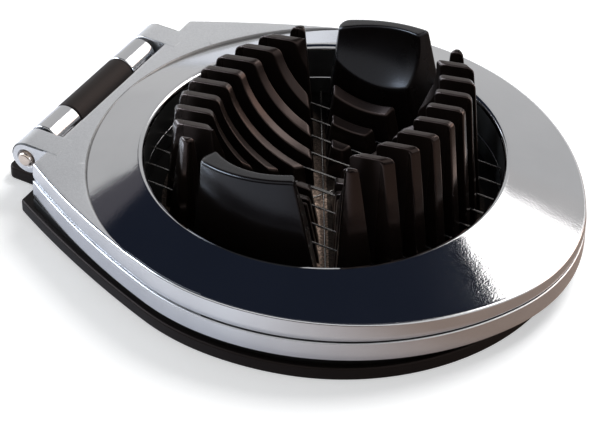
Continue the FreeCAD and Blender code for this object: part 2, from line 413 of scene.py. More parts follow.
def loft(sections, closed=False):
    """A mesh through a row of outlines with equal numbers of points, in millimetres."""
    shape = bmesh.new()
    rows = [[shape.verts.new(Vector(point) * MM) for point in section] for section in sections]
    strips = []
    for row, following in zip(rows, rows[1:] + rows[:1] if closed else rows[1:]):
        for here in range(len(row)):
            after = (here + 1) % len(row)
            strips.append(shape.faces.new((row[here], row[after], following[after], following[here])))
    for end in () if closed else (rows[0], rows[-1]):
        shape.faces.new(end)
    return shape, strips


print("a rounded edge has", len(rounding(1.0)), "rings")

# %% [markdown]
# Three more helpers make pieces of these shapes. `as_object` makes one object of one or more of them.
# `settle` rounds the edges with a Bevel modifier where that is asked for, turns the result into plain
# mesh and smooths its shading. `join_frame` ties a piece to its body, hides the imported nodes that it
# stands for, and says so.

# %% Piece helpers
sharp_angle, merge_distance = math.radians(32), 0.002


def as_object(name, shapes, materials):
    """One object from one or more finished shapes, with faces turned outwards."""
    mesh = bpy.data.meshes.new(name)
    whole = bmesh.new()
    for shape in shapes:
        bmesh.ops.recalc_face_normals(shape, faces=shape.faces)
        part = bpy.data.meshes.new("part")
        shape.to_mesh(part)
        shape.free()
        whole.from_mesh(part)
        bpy.data.meshes.remove(part)
    whole.to_mesh(mesh)
    whole.free()
    for material in materials:
        mesh.materials.append(material)
    piece = bpy.data.objects.new(name, mesh)
    scene.collection.objects.link(piece)
    return piece


def settle(piece, bevel=0.0):
    """Rounds the edges and makes a plain mesh of it, with one modifier left that evens its shading."""
    if bevel:
        edge = piece.modifiers.new("rounded edges", "BEVEL")
        edge.width, edge.segments = bevel * MM, round_steps
        edge.limit_method, edge.angle_limit = "ANGLE", sharp_angle
    graph = bpy.context.evaluated_depsgraph_get()
    made = bpy.data.meshes.new_from_object(piece.evaluated_get(graph), depsgraph=graph)
    piece.modifiers.clear()
    shape = bmesh.new()
    shape.from_mesh(made)
    bmesh.ops.remove_doubles(shape, verts=shape.verts, dist=merge_distance * MM)
    bmesh.ops.recalc_face_normals(shape, faces=shape.faces)
    shape.to_mesh(made)
    shape.free()
    made.shade_smooth()
    made.set_sharp_from_angle(angle=sharp_angle)
    old, piece.data = piece.data, made
    bpy.data.meshes.remove(old)
    made.name = piece.name
    weigh = piece.modifiers.new("even shading", "WEIGHTED_NORMAL")
    weigh.keep_sharp = True
    return piece


def join_frame(piece, body, slot, *nodes):
    """Ties a piece to the frame and says so."""
    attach(piece, body)
    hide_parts(*nodes)
    print(piece.name, "on", body, "has", len(piece.data.polygons), "faces")


print("piece helpers ready")

# %% [markdown]
# Both frames and the base share one outline: a teardrop of arcs that run into each other smoothly,
# round at the sides, a little sharper at the nose, and nearly straight towards the hinge, where a flat
# back edge cuts it off. A polygon could copy it, but the arcs give any inset and stay smooth, so the
# outline is kept as a rule: how far out it lies in a given direction.

# %% Teardrop outline
class Teardrop:
    """The outline of a frame or of the base, about the middle of the opening, in millimetres."""
    flank_start = math.radians(90)
    hinge_side_start = math.radians(107)
    corner_room, corner_lean = 0.3, 0.004

    def __init__(self, side, flattening, sharpening, hinge_side, back_x):
        def towards(angle, length):
            return Vector((math.cos(angle), math.sin(angle))) * length
        flank, nose = side + flattening, side - sharpening
        flank_centre = towards(self.flank_start, -flattening)
        nose_end = math.asin(-flank_centre.y / (flank - nose))
        nose_centre = Vector((flank_centre.x + (flank - nose) * math.cos(nose_end), 0))
        hinge_centre = towards(self.hinge_side_start, side - hinge_side)
        corner = math.acos((back_x - hinge_centre.x) / hinge_side)
        self.back_x = back_x
        self.corner = hinge_centre + towards(corner, hinge_side)
        self.corner_angle = math.atan2(self.corner.y, self.corner.x)
        nose_tip = nose_centre + towards(nose_end, nose)
        self.arcs = [(math.atan2(nose_tip.y, nose_tip.x), nose_centre, nose),
                     (self.flank_start, flank_centre, flank),
                     (self.hinge_side_start, Vector((0, 0)), side),
                     (self.corner_angle, hinge_centre, hinge_side)]

    def reach(self, angle):
        """How far the outline is from the middle in this direction."""
        angle = abs(math.remainder(angle, math.tau))
        heading = Vector((math.cos(angle), math.sin(angle)))
        for end, centre, radius in self.arcs:
            if angle <= end + 1e-9:
                along = heading.dot(centre)
                return along + math.sqrt(along ** 2 - centre.length_squared + radius ** 2)
        return self.back_x / heading.x

    def angles(self, count):
        """Even steps right round, with the two back corners met exactly."""
        even = [math.tau * number / count for number in range(count)]
        corners = (self.corner_angle, math.tau - self.corner_angle)
        step = math.tau / count
        spaced = [a for a in even if min(abs(a - c) for c in corners) > self.corner_room * step]
        leans = (-self.corner_lean, 0, self.corner_lean)
        return sorted(spaced + [c + lean for c in corners for lean in leans])


side_radius, flattening, sharpening, frame_back_x = 48.3, 8.25, 11.7, -50.8
slicing_hinge_side, wedge_hinge_side = 170.0, 175.0
slicing_edge = Teardrop(side_radius, flattening, sharpening, slicing_hinge_side, frame_back_x)
wedge_edge = Teardrop(side_radius, flattening, sharpening, wedge_hinge_side, frame_back_x)
print("nose at", round(slicing_edge.reach(0), 2), "mm, back corner at", round(slicing_edge.corner.y, 2), "mm")

# %% [markdown]
# Both frames are thin castings, hollow below. They could be cut from solids, but a frame's section is the
# same idea all the way round, so it is swept: one closed section is worked out for each direction, and
# the sections are joined into a ring. First come the sizes, and the small curves that sections are made
# of. The plate rises a little towards the flanks, and the step beside it fades out there.

# %% Frame sizes
opening_radius, rim_outer = 36.2, 38.2
skin, outer_wall, least_hollow, least_roof = 1.7, 1.8, 0.5, 0.4
wedge_bottom, wedge_top = 4.7, 9.0
slicing_bottom, plate_top, lip_top = 9.1, 13.3, 17.4
foot_of_cone, flank_rise, rise_start_deg, rise_deg = 47.9, 0.6, 35, 40
step_height, step_end_deg, step_width, step_share, step_parts = 0.5, 73, 0.3, 0.4, (1, 0.5, 0.15, 0)
edge_round, ledge_round, foot_round, foot_tall, lip_round, bore_round = 0.45, 0.22, 0.55, 1.6, 1.0, 0.3
upper_step, upper_lean, lower_lean, least_plate = 0.12, 0.15, 0.1, 0.1
foot_steps, flat_steps, cone_steps, lip_steps, ring_steps = 6, 6, 9, 8, 240


def ring_levels(angle):
    """How high the plate and the foot of the cone are in this direction."""
    from_hinge = 180 - abs(math.degrees(math.remainder(angle, math.tau)))
    part = min(max((from_hinge - rise_start_deg) / rise_deg, 0.0), 1.0)
    plate = plate_top + flank_rise * part * part * (3 - 2 * part)
    step = step_height * math.sin(math.pi * min(from_hinge / step_end_deg, 1.0))
    return plate, plate - step


def quarter(centre_r, centre_z, radius, start_deg, end_deg, steps=4, tall=None):
    """Points of a small rounding, as reach and height. A tall one is part of an ellipse."""
    turns = [math.radians(start_deg + (end_deg - start_deg) * n / steps) for n in range(steps + 1)]
    return [(centre_r + radius * math.cos(t), centre_z + (tall or radius) * math.sin(t)) for t in turns]


def between(start, end, steps):
    """Numbers at even steps inside a stretch, without its ends."""
    return [start + (end - start) * (n / steps) for n in range(1, steps)]


print("plate and foot of the cone at the hinge", ring_levels(math.pi), "mm")

# %% [markdown]
# The upper frame is a conical ring that falls from a rounded lip, a flat plate towards the hinge with a
# low step down to the cone, a side wall, and a hollow underside with a short rim wall that the wires are
# laid into. Each stretch of the section has a label, which will pick its finish.

# %% Upper frame's section
def slicing_section(edge, angle):
    """The upper frame's section in this direction, as labelled stretches of reach and height."""
    reach = edge.reach(angle) - upper_step - upper_lean
    plate_level, foot_level = ring_levels(angle)
    slope = (lip_top - foot_level) / (foot_of_cone - opening_radius)
    lean = math.hypot(1, slope)
    towards_hinge = math.cos(angle) < 0

    def cone_top(r):
        return r, lip_top - slope * (r - opening_radius)

    def plate_over(r):
        return (r, plate_level) if towards_hinge and r > foot_of_cone else cone_top(r)
    foot_r, foot_z = reach + upper_lean - foot_round, slicing_bottom + foot_tall
    wall = quarter(foot_r, foot_z, foot_round, -90, 0, foot_steps, foot_tall)
    rim = reach - edge_round
    shoulder = quarter(rim, plate_over(rim)[1] - edge_round, edge_round, 0, 90)
    meet = min(foot_of_cone, rim - least_plate)
    turn = min(step_width, step_share * (rim - meet))
    plate = [plate_over(r) for r in between(rim, meet + turn, flat_steps)]
    step = [cone_top(meet + turn * part) for part in step_parts]
    if towards_hinge:
        low = cone_top(meet)[1]
        rise = plate_over(meet + turn)[1] - low
        rounded = [math.sqrt(1 - (1 - part) ** 2) for part in step_parts]
        step = [(r, low + rise * part) for (r, z), part in zip(step, rounded)]
    lip_r = opening_radius + lip_round
    lip_z = lip_top - slope * lip_round - lip_round * lean
    cone = [cone_top(r) for r in between(meet, lip_r + lip_round * slope / lean, cone_steps)]
    lip = quarter(lip_r, lip_z, lip_round, math.degrees(math.atan2(1, slope)), 180, lip_steps)
    foot = quarter(opening_radius + bore_round, slicing_bottom + bore_round, bore_round, 180, 270)
    hollow_r = max(reach - outer_wall, rim_outer + least_hollow)
    roof_in = cone_top(rim_outer)[1] - skin
    roof_out = max(cone_top(hollow_r)[1] - skin, slicing_bottom + least_roof)
    under = [(rim_outer, slicing_bottom), (rim_outer, roof_in), (hollow_r, roof_out),
             (hollow_r, slicing_bottom)]
    return [("side", wall), ("edge", shoulder), ("plate", plate + step[:1]), ("step", step[1:]),
            ("cone", cone), ("lip", lip), ("bore", foot), ("under", under)]


print("upper section", [(label, len(points)) for label, points in slicing_section(slicing_edge, 0.0)])

# %% [markdown]
# The lower frame is plainer: a side wall, a narrow ledge that shows below the upper frame, and a flat
# that the upper frame lies on.

# %% Lower frame's section
def wedge_section(edge, angle):
    """The lower frame's section in this direction."""
    reach = edge.reach(angle) - lower_lean
    foot_r, foot_z = reach + lower_lean - ledge_round, wedge_bottom + foot_tall
    wall = quarter(foot_r, foot_z, ledge_round, -90, 0, foot_steps, foot_tall)
    shoulder = quarter(reach - ledge_round, wedge_top - ledge_round, ledge_round, 0, 90)
    lip = quarter(opening_radius + bore_round, wedge_top - bore_round, bore_round, 90, 180)
    flat = [(r, wedge_top) for r in between(shoulder[-1][0], lip[0][0], flat_steps)]
    foot = quarter(opening_radius + bore_round, wedge_bottom + bore_round, bore_round, 180, 270)
    hollow_r = max(reach - outer_wall, rim_outer + least_hollow)
    roof = wedge_top - skin
    under = [(rim_outer, wedge_bottom), (rim_outer, roof), (hollow_r, roof), (hollow_r, wedge_bottom)]
    return [("side", wall + shoulder[:1]), ("ledge", shoulder[1:]), ("plate", flat), ("lip", lip),
            ("bore", foot), ("under", under)]


print("lower section", [(label, len(points)) for label, points in wedge_section(wedge_edge, 0.0)])

# %% [markdown]
# Now each ring is swept through its sections. The labels give the strips between them their finishes,
# and towards the nose, where there is no plate, the cone's polish runs out to the edge.

# %% Swept rings
# The step's finish is painted shade, a darker line along it.
stretch_metals = {"side": side_metal, "edge": side_metal, "ledge": satin_metal, "plate": satin_metal,
                  "step": step_shade_metal, "cone": polished_metal, "lip": polished_metal,
                  "bore": underside_and_painted_edge_metal, "under": underside_and_painted_edge_metal}


def swept_ring(edge, section):
    """A ring through one section for each direction. A strip has the finish of its further point."""
    outlines, marks = [], []
    for angle in edge.angles(ring_steps):
        flat = [(label, point) for label, points in section(edge, angle) for point in points]
        outlines.append([(r * math.cos(angle), r * math.sin(angle), z) for label, (r, z) in flat])
        marks.append([label for label, point in flat])
    shape, strips = loft(outlines, closed=True)
    for number, strip in enumerate(strips):
        row, place = divmod(number, len(marks[0]))
        label = marks[row][(place + 1) % len(marks[0])]
        polished_nose = label in ("plate", "step") and strip.calc_center_median().x > 0
        strip.material_index = frame_metals.index(polished_metal if polished_nose else stretch_metals[label])
    return shape


slicing_ring = as_object("slicing_ring", [swept_ring(slicing_edge, slicing_section)], frame_metals)
wedge_ring = as_object("wedge_ring", [swept_ring(wedge_edge, wedge_section)], frame_metals)
print("rings", len(slicing_ring.data.polygons), len(wedge_ring.data.polygons), "faces")

# %% [markdown]
# Five barrels share the hinge pin: an ear at each end belongs to the upper frame, the two beside them
# to the lower frame, and the long middle one to the base. Each is a round tube with a lug that ties it
# to its part, so one function draws them all: for each direction round the pin it takes whichever lies
# further out, the tube or the lug, and sweeps that outline along the pin and back through the bore.

# %% Hinge barrel
hinge_x, hinge_z, barrel_radius, bore_radius = -55.6, 9.7, 3.6, 1.65
barrel_round, countersink, barrel_steps, corner_gap = 0.3, 0.55, 56, 0.03


def about_pin(reaches, turns, y):
    """An outline round the hinge axis, at one place along it."""
    return [(hinge_x + r * math.cos(t), y, hinge_z + r * math.sin(t)) for r, t in zip(reaches, turns)]


def hinge_barrel(start, end, lug, dark_edge=False):
    """A barrel from start to end along the pin, with a lug given as x and z ranges from the axis."""
    (x_low, x_high), (z_low, z_high) = lug
    corners = [math.atan2(z, x) for x in (x_low, x_high) for z in (z_low, z_high)]
    even = [math.tau * n / barrel_steps - math.pi for n in range(barrel_steps)]
    turns = sorted([t for t in even if min(abs(t - c) for c in corners) > corner_gap] + corners)

    def to_side(heading, low, high):
        return (high if heading > 0 else low) / heading if abs(heading) > 1e-6 else math.inf

    def ring(y, drawn):
        across_x = [to_side(math.cos(turn), x_low, x_high) for turn in turns]
        across_z = [to_side(math.sin(turn), z_low, z_high) for turn in turns]
        reaches = [max(barrel_radius, min(pair)) - drawn for pair in zip(across_x, across_z)]
        return about_pin(reaches, turns, y)

    def bore_ring(y, radius):
        return about_pin([radius] * len(turns), turns, y)
    inward = 1 if end > start else -1
    near = [ring(start + inward * edge, drawn) for edge, drawn in rounding(barrel_round)]
    far = [ring(end - inward * edge, drawn) for edge, drawn in reversed(rounding(barrel_round))]
    mouth = [bore_ring(end, bore_radius + countersink), bore_ring(end - inward * countersink, bore_radius)]
    shape, strips = loft(near + far + mouth + [bore_ring(start, bore_radius)], closed=True)
    first, count = len(near) * len(turns), (len(far) - 1) * len(turns)
    for strip in strips[first:first + count]:
        middle = strip.calc_center_median() / MM
        # Painted dark reflection: an ear's upper outer edge gets the second, dark grey finish.
        strip.material_index = int(dark_edge and middle.z > hinge_z and middle.x < frame_back_x)
    return shape


print("pin's axis at x", hinge_x, "and z", hinge_z, "mm")

# %% [markdown]
# The lugs of the ears and of the lower frame's knuckles reach into their frames. The ears' upper outer
# edges get the underside's dark grey, a painted dark reflection along them.

# %% Ears and knuckles
ear_start, ear_end = 19.4, 25.4
wedge_knuckle_start, wedge_knuckle_end = 9.9, 18.6
base_knuckle_half = 9.7
ear_overlap, web_overlap, behind_axis, hair, ear_proud = 2.8, 0.8, -0.1, 0.01, 0.015
to_frame = frame_back_x - hinge_x
ear_lug = ((behind_axis, to_frame + ear_overlap),
           (slicing_bottom + hair - hinge_z, plate_top + ear_proud - hinge_z))
web_lug = ((behind_axis, to_frame + web_overlap), (hair - barrel_radius, wedge_top - hair - hinge_z))
ears, knuckles = [], []
for side in (-1, 1):
    ears.append(hinge_barrel(side * ear_start, side * ear_end, ear_lug, dark_edge=True))
    knuckles.append(hinge_barrel(side * wedge_knuckle_start, side * wedge_knuckle_end, web_lug))
slicing_ears = as_object("slicing_ears", ears, [satin_metal, underside_and_painted_edge_metal])
wedge_knuckles = as_object("wedge_knuckles", knuckles, [polished_metal])
for piece in (slicing_ring, slicing_ears):
    join_frame(settle(piece), "slicing_frame", "chromed_metal", "slicing_frame")
for piece in (wedge_ring, wedge_knuckles):
    join_frame(settle(piece), "wedge_frame", "chromed_metal", "wedge_frame")

# %% [markdown]
# The pin is a plain rod with domed ends that stand a little out of the ears. A lathe gives it in one
# go: a short list of radii along the axis, each turned into a circle.

# %% Hinge pin
pin_radius, pin_end, pin_steps = 1.6, 26.3, 40
pin_dome, dome_steps, crown_radii = 0.6, 6, (0.6, 0.2)
dome = [(pin_radius - drawn, pin_end - edge) for edge, drawn in reversed(rounding(pin_dome, dome_steps))]
half_pin = dome + [(radius, pin_end) for radius in crown_radii]
pin_profile = [(radius, -y) for radius, y in reversed(half_pin)] + half_pin
pin_turns = [math.tau * n / pin_steps for n in range(pin_steps)]
rod = loft([about_pin([radius] * pin_steps, pin_turns, y) for radius, y in pin_profile])[0]
hinge_pin = as_object("hinge_pin_rod", [rod], [pin_metal])
join_frame(settle(hinge_pin), "base", "pin_steel", "hinge_pin")

# %% [markdown]
# The base is a flat moulding a little larger than the frames, with a tongue behind the hinge, a raised
# deck that carries the lower frame, and the middle barrel. Outline, tongue and deck are drawn as flat
# outlines and raised, and a Bevel modifier gives them the small round edge that every moulding has.

# %% Base moulding
base_thickness, deck_top, deck_inset, base_back_x = 3.0, 4.5, 1.3, -54.0
tongue_back_x, tongue_half_width, tongue_corner, tongue_steps = -63.0, 22.4, 1.5, 5
base_side, base_flattening, base_sharpening, base_hinge_side = 48.45, 11.2, 0.5, 250.0
slab_round, deck_round, deck_sunk, barrel_sunk, above_axis = 0.45, 0.3, 0.6, 0.5, 0.1


def raised(outline, bottom, top):
    """A flat outline made into a solid."""
    return loft([[(x, y, z) for x, y in outline] for z in (bottom, top)])[0]


def front_outline(edge, steps=180):
    """The teardrop from one back corner round the nose to the other."""
    turns = [edge.corner_angle * (2 * n / steps - 1) for n in range(steps + 1)]
    return [(edge.reach(t) * math.cos(t), edge.reach(t) * math.sin(t)) for t in turns]


base_edge = Teardrop(base_side, base_flattening, base_sharpening, base_hinge_side, base_back_x)
deck_edge = Teardrop(base_side - deck_inset, base_flattening, base_sharpening,
                     base_hinge_side - deck_inset, frame_back_x)
corner_x, corner_y = tongue_back_x + tongue_corner, tongue_half_width - tongue_corner
corner = quarter(corner_x, corner_y, tongue_corner, 90, 180, tongue_steps)
tongue = [(base_back_x, tongue_half_width)] + corner
tongue += [(x, -y) for x, y in reversed(tongue)]
slab = raised(front_outline(base_edge) + tongue, 0.0, base_thickness)
deck = raised(front_outline(deck_edge), base_thickness - deck_sunk, deck_top)
foot_lug = ((-barrel_radius, barrel_radius), (base_thickness - barrel_sunk - hinge_z, above_axis))
middle_barrel = hinge_barrel(-base_knuckle_half, base_knuckle_half, foot_lug)

base_slab = settle(as_object("base_slab", [slab], [slab_plastic]), slab_round)
base_deck = settle(as_object("base_deck", [deck], [deck_plastic]), deck_round)
base_barrel = settle(as_object("base_barrel", [middle_barrel], [barrel_plastic]))
for piece in (base_slab, base_deck, base_barrel):
    join_frame(piece, "base", "black_plastic", "base_plate")

# %% [markdown]
# The wires repeat by rule: nine side by side for slices, three turned by sixty degrees for wedges.
# Copying rods in a loop would do, but one Geometry Nodes tree can string both harps from named sizes:
# how many wires, how far apart, how far turned, how high, and the rim they are drawn tight across.
# A second tree crimps a ferrule on every wire end. These helpers start and end any such tree.

# %% Tree helpers
KINDS = {int: "NodeSocketInt", float: "NodeSocketFloat", bpy.types.Material: "NodeSocketMaterial"}


def named_tree(name, inputs):
    """A new Geometry Nodes tree with named inputs, its graph and its input sockets."""
    tree = bpy.data.node_groups.new(name, "GeometryNodeTree")
    tree.interface.new_socket("Geometry", in_out="OUTPUT", socket_type="NodeSocketGeometry")
    for label, kind in inputs.items():
        tree.interface.new_socket(label, in_out="INPUT", socket_type=KINDS[kind])
    graph = Graph(tree)
    group = graph.add("NodeGroupInput")
    return tree, graph, {label: group[label] for label in inputs}


def end_tree(graph, shape, material):
    """Realizes the instances, sets the finish and closes the tree."""
    solid = graph.add("GeometryNodeRealizeInstances", None, {0: shape})[0]
    coated = graph.add("GeometryNodeSetMaterial", None, {"Geometry": solid, "Material": material})[0]
    graph.add("NodeGroupOutput", None, {0: coated})


def grown(name, tree, values):
    """An object whose mesh a tree makes, with the tree's inputs set by identifier."""
    piece = bpy.data.objects.new(name, bpy.data.meshes.new(name))
    scene.collection.objects.link(piece)
    nodes = piece.modifiers.new("rule", "NODES")
    nodes.node_group = tree
    for item in tree.interface.items_tree:
        if item.in_out == "INPUT":
            nodes[item.identifier] = values[item.name]
    return piece


def upright_rod(graph, sides, segments, radius, depth):
    """An upright cylinder with a flat face at each end."""
    sockets = {"Vertices": sides, "Side Segments": segments, "Radius": radius, "Depth": depth}
    return graph.add("GeometryNodeMeshCylinder", {"fill_type": "NGON"}, sockets)[0]


print("tree helpers ready")

# %% [markdown]
# Both trees share one rule for where a wire lies. The wires are rods stretched to their length. The
# ferrules sit at both ends, just outside the rim wall that they bear on, and three shallow waves along
# each make its crimps.

# %% Wire and ferrule trees
wire_sides, wire_segments, ferrule_sides, ferrule_segments = 16, 24, 20, 12
seat_gap, crimp_depth, crimp_waves = 0.05 * MM, 0.16, 3
HARP = {"Wire Count": int, "Pitch": float, "First Angle": float, "Angle Step": float, "First Height": float,
        "Height Step": float, "Rim Radius": float, "Wire Radius": float, "Ferrule Radius": float,
        "Ferrule Length": float, "Finish": bpy.types.Material}


def strung(sizes, number):
    """Where a wire lies: sideways offset, direction, height and half its length to the rim."""
    offset = (number - (sizes["Wire Count"] - 1) / 2) * sizes["Pitch"]
    angle = sizes["First Angle"] + number * sizes["Angle Step"]
    height = sizes["First Height"] + number * sizes["Height Step"]
    near_edge = (abs(offset) - sizes["Ferrule Radius"]).at_least(0.0)
    seat = (sizes["Rim Radius"].square() - near_edge.square()).root() + seat_gap
    return offset, angle, height, seat


def laid(graph, count, place, shape, angle, size=(1.0, 1.0, 1.0)):
    """Copies of an upright shape, each at its place and laid along its wire's direction."""
    points = graph.add("GeometryNodePoints", None, {"Count": count, "Position": place})[0]
    turn = graph.add("FunctionNodeEulerToRotation", None, {0: graph.point(0.0, math.pi / 2, angle)})[0]
    sockets = {"Points": points, "Instance": shape, "Rotation": turn, "Scale": size}
    return graph.add("GeometryNodeInstanceOnPoints", None, sockets)[0]


def wire_tree():
    tree, graph, sizes = named_tree("strung wires", HARP)
    offset, angle, height, seat = strung(sizes, graph.add("GeometryNodeInputIndex")[0])
    place = graph.point(-angle.sine() * offset, angle.cosine() * offset, height)
    wire = upright_rod(graph, wire_sides, wire_segments, sizes["Wire Radius"], 1.0)
    length = (seat + sizes["Ferrule Length"]) * 2.0
    wires = laid(graph, sizes["Wire Count"], place, wire, angle, graph.point(1.0, 1.0, length))
    end_tree(graph, wires, sizes["Finish"])
    return tree


def ferrule_tree():
    tree, graph, sizes = named_tree("crimped ferrules", HARP)
    index = graph.add("GeometryNodeInputIndex")[0]
    number = (index / 2.0).floor()
    offset, angle, height, seat = strung(sizes, number)
    end = (index - number * 2.0) * 2.0 - 1.0
    length = sizes["Ferrule Length"]
    along = end * (seat + length / 2.0)
    place = graph.point(angle.cosine() * along - angle.sine() * offset,
                        angle.sine() * along + angle.cosine() * offset, height)
    tube = upright_rod(graph, ferrule_sides, ferrule_segments, sizes["Ferrule Radius"], length)
    x, y, z = graph.parts(graph.add("GeometryNodeInputPosition")[0])
    wave = (z * (crimp_waves * math.pi) / length).cosine()
    crimp = 1.0 - crimp_depth * wave.square()
    pressed = graph.point(x * crimp, y * crimp, z)
    tube = graph.add("GeometryNodeSetPosition", None, {"Geometry": tube, "Position": pressed})[0]
    ferrules = laid(graph, sizes["Wire Count"] * 2.0, place, tube, angle)
    end_tree(graph, ferrules, sizes["Finish"])
    return tree


wires_by_rule, ferrules_by_rule = wire_tree(), ferrule_tree()
print("trees", wires_by_rule.name, "and", ferrules_by_rule.name)

# %% [markdown]
# Each frame gets its harp: nine slicing wires 5 mm apart along X, and three wedge wires that cross in
# the middle, one just above another so that they touch nothing but the rim.

# %% String both frames
wire_radius, ferrule_radius, ferrule_length = 0.2, 0.6, 1.8
slice_count, slice_thickness, slicing_wire_z = 9, 5.0, 10.6
wedge_count, wedge_turn, wedge_wire_z, wedge_wire_step = 3, math.radians(60), 5.45, 0.5
shared = {"Rim Radius": rim_outer * MM, "Wire Radius": wire_radius * MM,
          "Ferrule Radius": ferrule_radius * MM, "Ferrule Length": ferrule_length * MM, "Finish": wire_metal}
slicing_harp = {**shared, "Wire Count": slice_count, "Pitch": slice_thickness * MM, "First Angle": 0.0,
                "Angle Step": 0.0, "First Height": slicing_wire_z * MM, "Height Step": 0.0}
wedge_harp = {**shared, "Wire Count": wedge_count, "Pitch": 0.0, "First Angle": wedge_turn,
              "Angle Step": wedge_turn, "First Height": wedge_wire_z * MM,
              "Height Step": wedge_wire_step * MM}
for body, harp, label in (("slicing_frame", slicing_harp, "slicing"), ("wedge_frame", wedge_harp, "wedge")):
    wires = settle(grown(label + "_wires", wires_by_rule, harp))
    wire_nodes = [f"{label}_wire_{n + 1}" for n in range(harp["Wire Count"])]
    join_frame(wires, body, "wire_steel", *wire_nodes)
    crimps = settle(grown(label + "_ferrules", ferrules_by_rule, harp))
    join_frame(crimps, body, "wire_steel", label + "_wire_ferrules")

# %% [markdown]
# The cradle is one rule cut many times. A round block leans in a little as it rises, a tilted plane
# trims its top, an egg hollows it, three channels let the wedge wires through and nine slots the
# slicing wires. What is left are fins, and each fin's outline follows from how far it stands from the
# middle. All their edges are rounded. An outline that is drawn in is the same rule with a wider
# channel, a larger egg and a smaller block, so the rounding needs no other tool.

# %% Cradle sizes
egg_half_width, egg_half_length, egg_depth, egg_rise = 21.2, 26.5, 18.7, 26.2
rim_tilt = math.radians(10.5)
rim_slope = math.tan(rim_tilt)
foot_radius, cradle_draft = 32.15, 0.1
fin_half, fin_draft, fin_pitch = 1.15, 0.012, slice_thickness
channel_half, left_lean, right_lean = 1.7, 0.09, 0.047
near_half, near_lean, far_half, far_lean = 0.75, 0.104, 1.1, 0.2
sunk = 0.5
cos30, sin30, tan30 = math.cos(math.radians(30)), 0.5, math.tan(math.radians(30))
corner_steps = 5
fin_round, wall_turn, bowl_turn, top_turn = 0.32, 0.9, 1.5, 1.5
stretch_steps = {"wall": 5, "wall corner": corner_steps, "bowl": 15, "bowl corner": corner_steps, "top": 3,
                 "top corner": corner_steps, "outside": 6}
fin_steps = sum(stretch_steps.values())
print("each fin has", fin_steps, "points in its outline")

# %% [markdown]
# The two main rows grow from a tree: a cylinder for each fin, whose round edge will be bent to the
# channel wall, the egg, the tilted top and the outside in turn. Each copy carries its number, because
# its place in the row is all that sets a fin apart from the next.

# %% Fin blocks
FIN_ROW = {"Fin Count": int, "Pitch": float, "Side": float, "Wall Lean": float, "Fin Half": float,
           "Egg Width": float, "Egg Length": float, "Egg Depth": float, "Egg Rise": float,
           "Foot Radius": float, "Channel Half": float, "Deck Height": float, "Rounding": float,
           "Finish": bpy.types.Material}


def numbered_fins(graph, sizes):
    """Plain cylinders, one for each fin, that carry their fin's number."""
    block = upright_rod(graph, fin_steps, 2 * round_steps + 1, 1.0, 2.0)
    points = graph.add("GeometryNodePoints", None, {"Count": sizes["Fin Count"]})[0]
    index = graph.add("GeometryNodeInputIndex")[0]
    numbered = graph.add("GeometryNodeStoreNamedAttribute", {"data_type": "FLOAT", "domain": "POINT"},
                         {"Geometry": points, "Name": "fin number", "Value": index})[0]
    fins = graph.add("GeometryNodeInstanceOnPoints", None, {"Points": numbered, "Instance": block})[0]
    fins = graph.add("GeometryNodeRealizeInstances", None, {0: fins})[0]
    number = graph.add("GeometryNodeInputNamedAttribute", {"data_type": "FLOAT"}, {"Name": "fin number"})[0]
    return fins, number


print("a fin row has", len(FIN_ROW), "named inputs")

# %% [markdown]
# A fin's outline is worked out with sockets. Heights are measured from the deck. The wall leans
# outwards, so it meets the egg at the lower root of a quadratic, and the top meets the leaning outside
# at the root of another. Between the stretches a short curve turns each corner.

# %% Outline of a fin
def corner_curve(start, corner, end):
    """A smooth turn from one point to another that bends towards the corner between them."""
    def at(part):
        rest = 1 - part
        first, middle, last = rest * rest, 2 * rest * part, part * part
        return tuple(first * a + middle * b + last * c for a, b, c in zip(start, corner, end))
    return at


